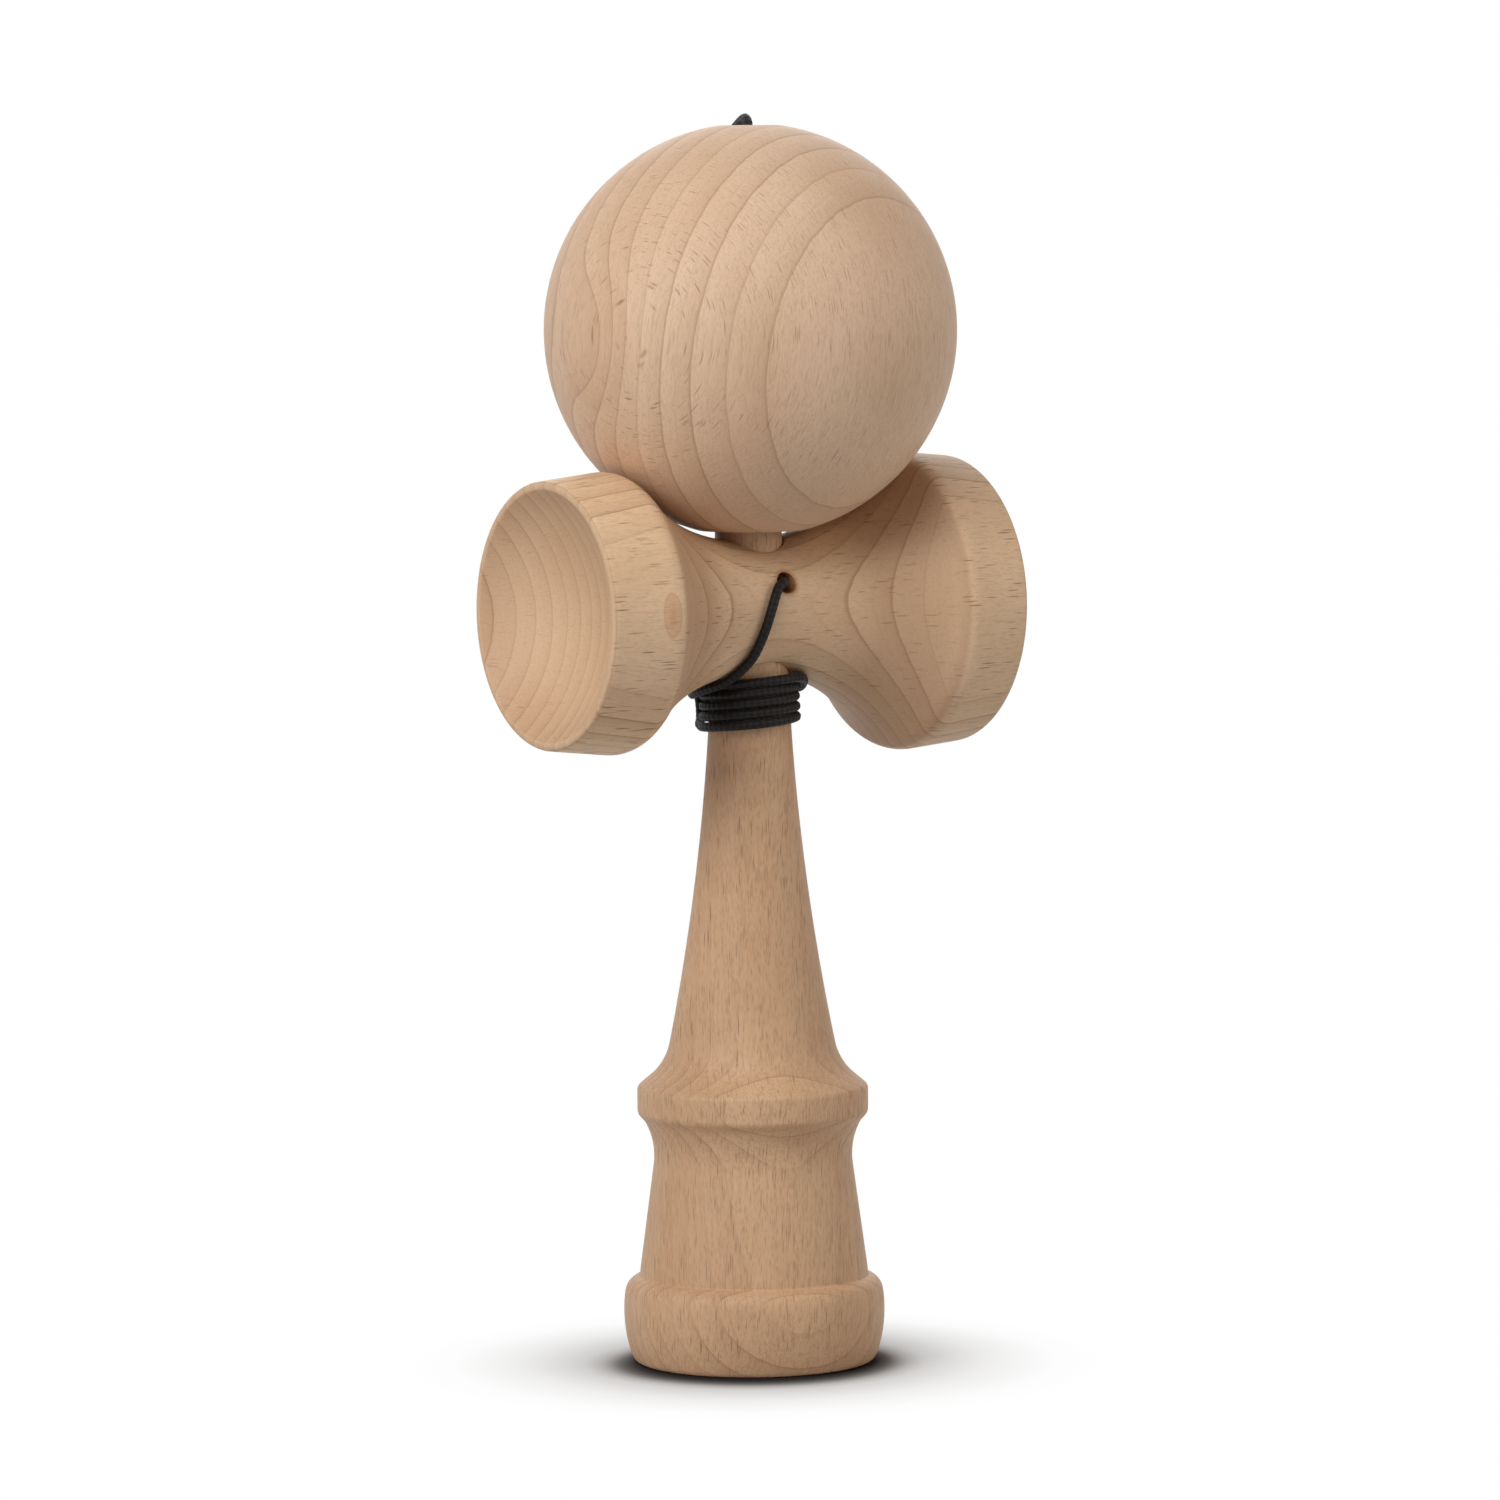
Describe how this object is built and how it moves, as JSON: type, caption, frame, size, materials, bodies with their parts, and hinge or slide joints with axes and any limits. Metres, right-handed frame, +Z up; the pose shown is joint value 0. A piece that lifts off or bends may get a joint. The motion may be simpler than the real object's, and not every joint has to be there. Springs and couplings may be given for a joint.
{
  "type": "cup and ball toy",
  "caption": "Turned wooden cup and ball toy: a spiked handle with a cup in its base, a cross piece with a cup at each end, and a drilled ball on a cord wound round the neck.",
  "frame": {"origin": "centre of the foot, in the plane that the base stands on", "axes": "+Z up the handle to the spike, X along the cross piece with the big cup at +X, the cord's hole at the front, -Y"},
  "size_m": [0.0698, 0.0617, 0.1823],
  "materials": {
    "handle_wood": "bare sanded beech, satin",
    "cross_wood": "bare sanded beech, satin",
    "ball_wood": "bare sanded beech, satin",
    "bead_wood": "plain wooden bead",
    "cord": "matt black braid"
  },
  "bodies": {
    "ken": {"ken": "handle_wood", "sarado": "cross_wood", "sarado_knot": "cord", "cord_front_run": "cord", "cord_winding": "cord", "cord_back_run": "cord"},
    "bead": {"tama_bead": "bead_wood", "tama_knot": "cord", "cord_tama_run": "cord"},
    "tama": {"tama": "ball_wood"}
  },
  "joints": [
    {"name": "tama_lift", "type": "slide", "parent": "ken", "child": "bead", "axis": [0, 0, 1], "range_m": [0, 0.045], "deforming": ["cord_back_run"]},
    {"name": "tama_spin", "type": "hinge", "parent": "bead", "child": "tama", "pos_m": [0, -0.001, 0.1509], "axis": [0, 0, 1], "continuous": true}
  ]
}
